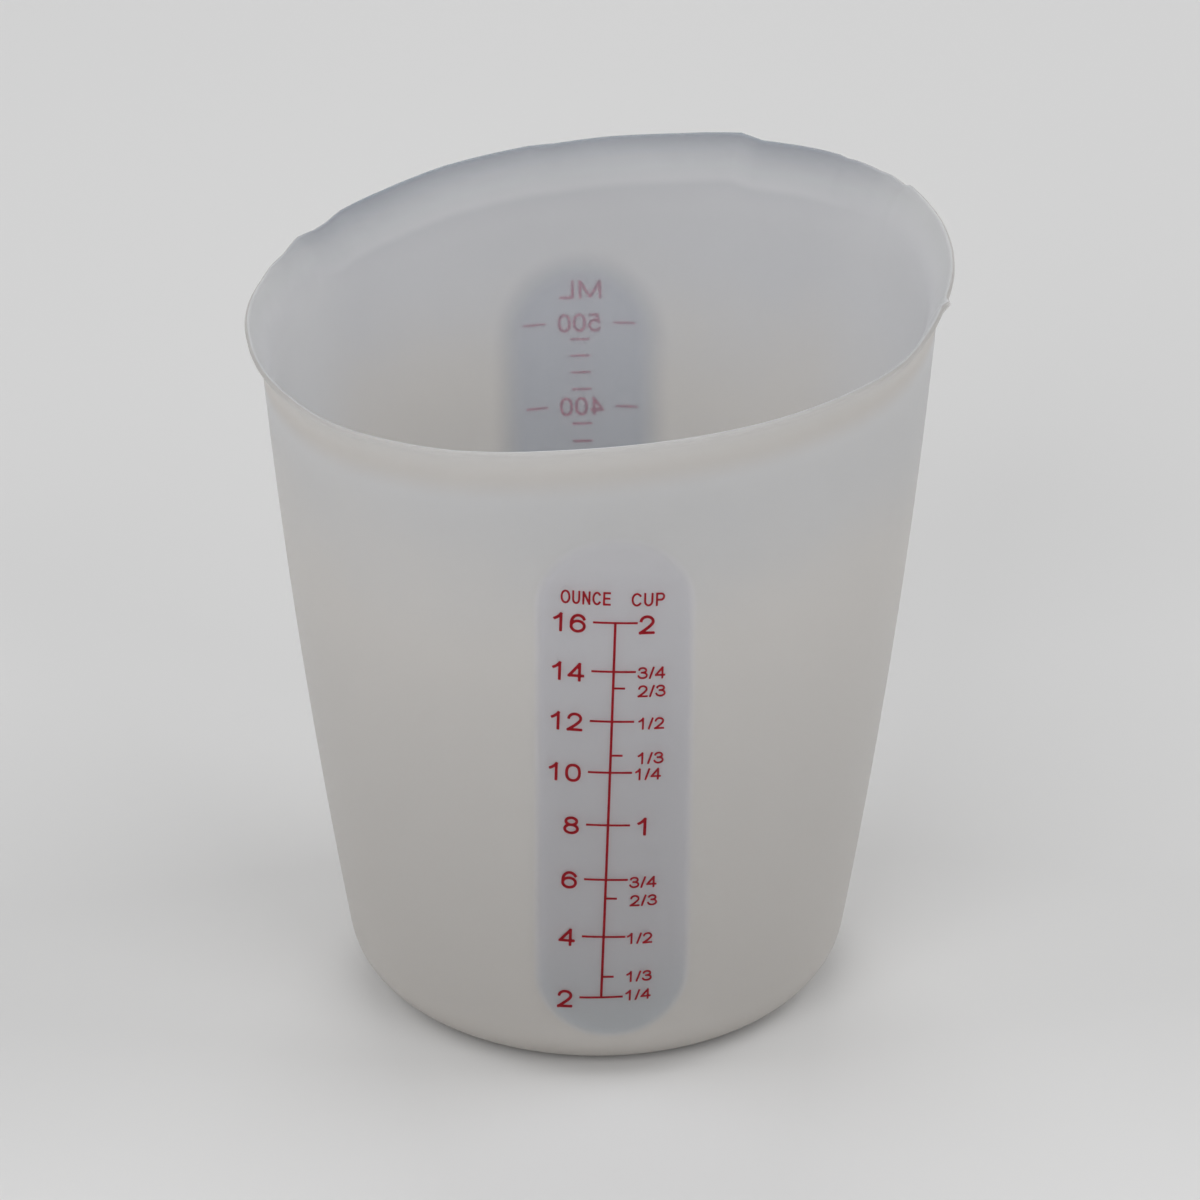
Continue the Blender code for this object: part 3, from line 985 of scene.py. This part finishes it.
def with_lip(graph, spot, colour):
    """Painted shade on the thin lip: a darker, warm band on its outside, darker still towards the edge, and
    darkest on its inside at the back.
    """
    outside = graph.math("SUBTRACT", 1.0, spot.inside)
    warm_shade = graph.times(graph.smooth(spot.near_rim, *WARM_LIP_SHADE), outside)
    colour = graph.mix_colour(warm_shade, colour, WARM_LIP_SHADE_COLOUR)
    at_back = graph.times(spot.inside, graph.smooth(spot.y, *TO_THE_BACK))
    lip = graph.mix_colour(spot.inside, OUTER_LIP_SHADE_COLOUR, INNER_LIP_SHADE_COLOUR)
    lip = graph.mix_colour(at_back, lip, BACK_LIP_SHADE_COLOUR)
    power = graph.mix(at_back, graph.mix(spot.inside, OUTER_LIP_POWER, INNER_LIP_POWER), BACK_LIP_POWER)
    return graph.mix_colour(graph.math("POWER", spot.near_rim, power), colour, lip)


def silicone_material():
    graph = Graph("silicone")
    x, y, z = graph.coordinates()
    inside = graph.attribute("inside")
    window = window_share(graph, x, y, z, inside)
    spot = Spot(x, y, z, inside, graph.attribute("near_rim"), window)
    colour = with_milky_places(graph, spot, wall_colour(graph, spot))
    graph.set("Base Color", with_lip(graph, spot, colour))

    grain = graph.noise(GRAIN_SCALE, GRAIN_DETAIL)
    rough = graph.math("MULTIPLY_ADD", grain, GRAIN_ROUGHNESS, ROUGHNESS)
    graph.set("Roughness", graph.math("MULTIPLY_ADD", window, WINDOW_ROUGHNESS, rough))
    undulation = graph.noise(UNDULATION_SCALE, UNDULATION_DETAIL)
    graph.bump(graph.math("ADD", graph.times(grain, GRAIN_HEIGHT), undulation), *SILICONE_BUMP)

    clear = graph.math("MULTIPLY_ADD", window, WINDOW_CLEARNESS, CLEARNESS)
    inner_back = graph.times(inside, graph.math("GREATER_THAN", y, 0.0))
    clear = graph.mix(inner_back, clear, INNER_BACK_CLEARNESS)
    graph.set("Transmission Weight", graph.times(clear, graph.math("SUBTRACT", 1.0, spot.near_rim)))
    graph.set("IOR", SILICONE_IOR)
    graph.set("Specular IOR Level", SILICONE_SPECULAR)

    # Light that gets through the floor is lost under the cup, so the inside scatters less low down
    graph.set("Subsurface Weight", graph.mix(inside, 1.0, graph.smooth(z, *INNER_SCATTER)))
    graph.set("Subsurface Radius", (1.0, 1.0, 1.0))
    graph.set("Subsurface Scale", SCATTER_DISTANCE)
    return graph.material


def ink_material():
    graph = Graph("ink")
    cloud = graph.noise(INK_CLOUD_SCALE, INK_CLOUD_DETAIL)
    shade = graph.smooth(cloud, *INK_SHADES)
    behind = graph.math("GREATER_THAN", graph.coordinates()[1], 0.0)
    front = graph.mix_colour(shade, *FRONT_INK)
    # Painted light: the back's print takes the paler, lit copy of the ink
    back = graph.mix_colour(shade, *LIT_BACK_INK)
    graph.set("Base Color", graph.mix_colour(behind, front, back))
    graph.set("Roughness", graph.math("MULTIPLY_ADD", cloud, INK_CLOUD_ROUGHNESS, INK_ROUGHNESS))
    graph.set("Transmission Weight", INK_CLEARNESS)
    graph.set("IOR", INK_IOR)
    graph.bump(cloud, *INK_BUMP)
    return graph.material


def floor_material():
    graph = Graph("floor")
    cloud = graph.noise(FLOOR_CLOUD_SCALE, FLOOR_CLOUD_DETAIL)
    graph.set("Base Color", graph.mix_colour(cloud, *FLOOR_COLOURS))
    graph.set("Roughness", FLOOR_ROUGHNESS)
    return graph.material


# Stage


def make_floor(material):
    turns = np.linspace(0.0, 2.0 * math.pi, FLOOR_SIDES, endpoint=False)
    points = [tuple(around(FLOOR_RADIUS, turn, 0.0)) for turn in turns]
    floor = make_mesh_object("floor", points, [tuple(range(FLOOR_SIDES))], material)


def make_world():
    world = bpy.data.worlds.new("studio")
    bpy.context.scene.world = world
    world.use_nodes = True
    background = world.node_tree.nodes["Background"]
    background.inputs["Color"].default_value = WORLD_COLOUR
    background.inputs["Strength"].default_value = WORLD_STRENGTH


def from_the_cup(azimuth, elevation):
    """Direction from the cup to a place so far to the right of its front and above the floor."""
    level = math.cos(elevation)
    return Vector((math.sin(azimuth) * level, -math.cos(azimuth) * level, math.sin(elevation)))


def make_softbox(name, azimuth, elevation, power):
    light = bpy.data.lights.new(name, "AREA")
    light.shape = "SQUARE"
    light.size = LIGHT_SIZE
    light.energy = power
    outward = from_the_cup(math.radians(azimuth), math.radians(elevation))
    thing = bpy.data.objects.new(name, light)
    thing.location = AIM_POINT + outward * LIGHT_DISTANCE
    thing.rotation_euler = outward.to_track_quat("Z", "Y").to_euler()
    bpy.context.scene.collection.objects.link(thing)


def look_axes(forward):
    """The right and up directions of a level camera that looks this way."""
    right = forward.cross(Vector((0.0, 0.0, 1.0))).normalized()
    return right, right.cross(forward)


def make_camera():
    """The photograph's view."""
    towards = from_the_cup(CAMERA_AZIMUTH, CAMERA_ELEVATION)
    right, up = look_axes(-towards)
    forward = right * math.tan(CAMERA_TURN_RIGHT) + up * math.tan(CAMERA_TURN_UP) - towards
    forward.normalize()
    right, up = look_axes(forward)
    data = bpy.data.cameras.new("camera")
    data.sensor_width = CAMERA_SENSOR
    data.lens = CAMERA_LENS
    data.clip_end = CAMERA_REACH
    camera = bpy.data.objects.new("camera", data)
    turn = Matrix((right, up, -forward)).transposed().to_4x4()
    camera.matrix_world = Matrix.Translation(AIM_POINT + towards * CAMERA_DISTANCE) @ turn
    bpy.context.scene.collection.objects.link(camera)
    bpy.context.scene.camera = camera


clear_startup_objects()
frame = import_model()

silicone = silicone_material()
ink = ink_material()

shell = make_shell(silicone)
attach(shell, "root")
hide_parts("cup_body")

for label in make_lettering(ink):
    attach(label, "root")

for name, node in frame["nodes"].items():
    if name != "cup_body":
        node.data.materials.clear()
        node.data.materials.append(ink)

make_floor(floor_material())
make_world()
for softbox in SOFTBOXES:
    make_softbox(*softbox)
make_camera()

bpy.context.scene.view_settings.view_transform = "Standard"
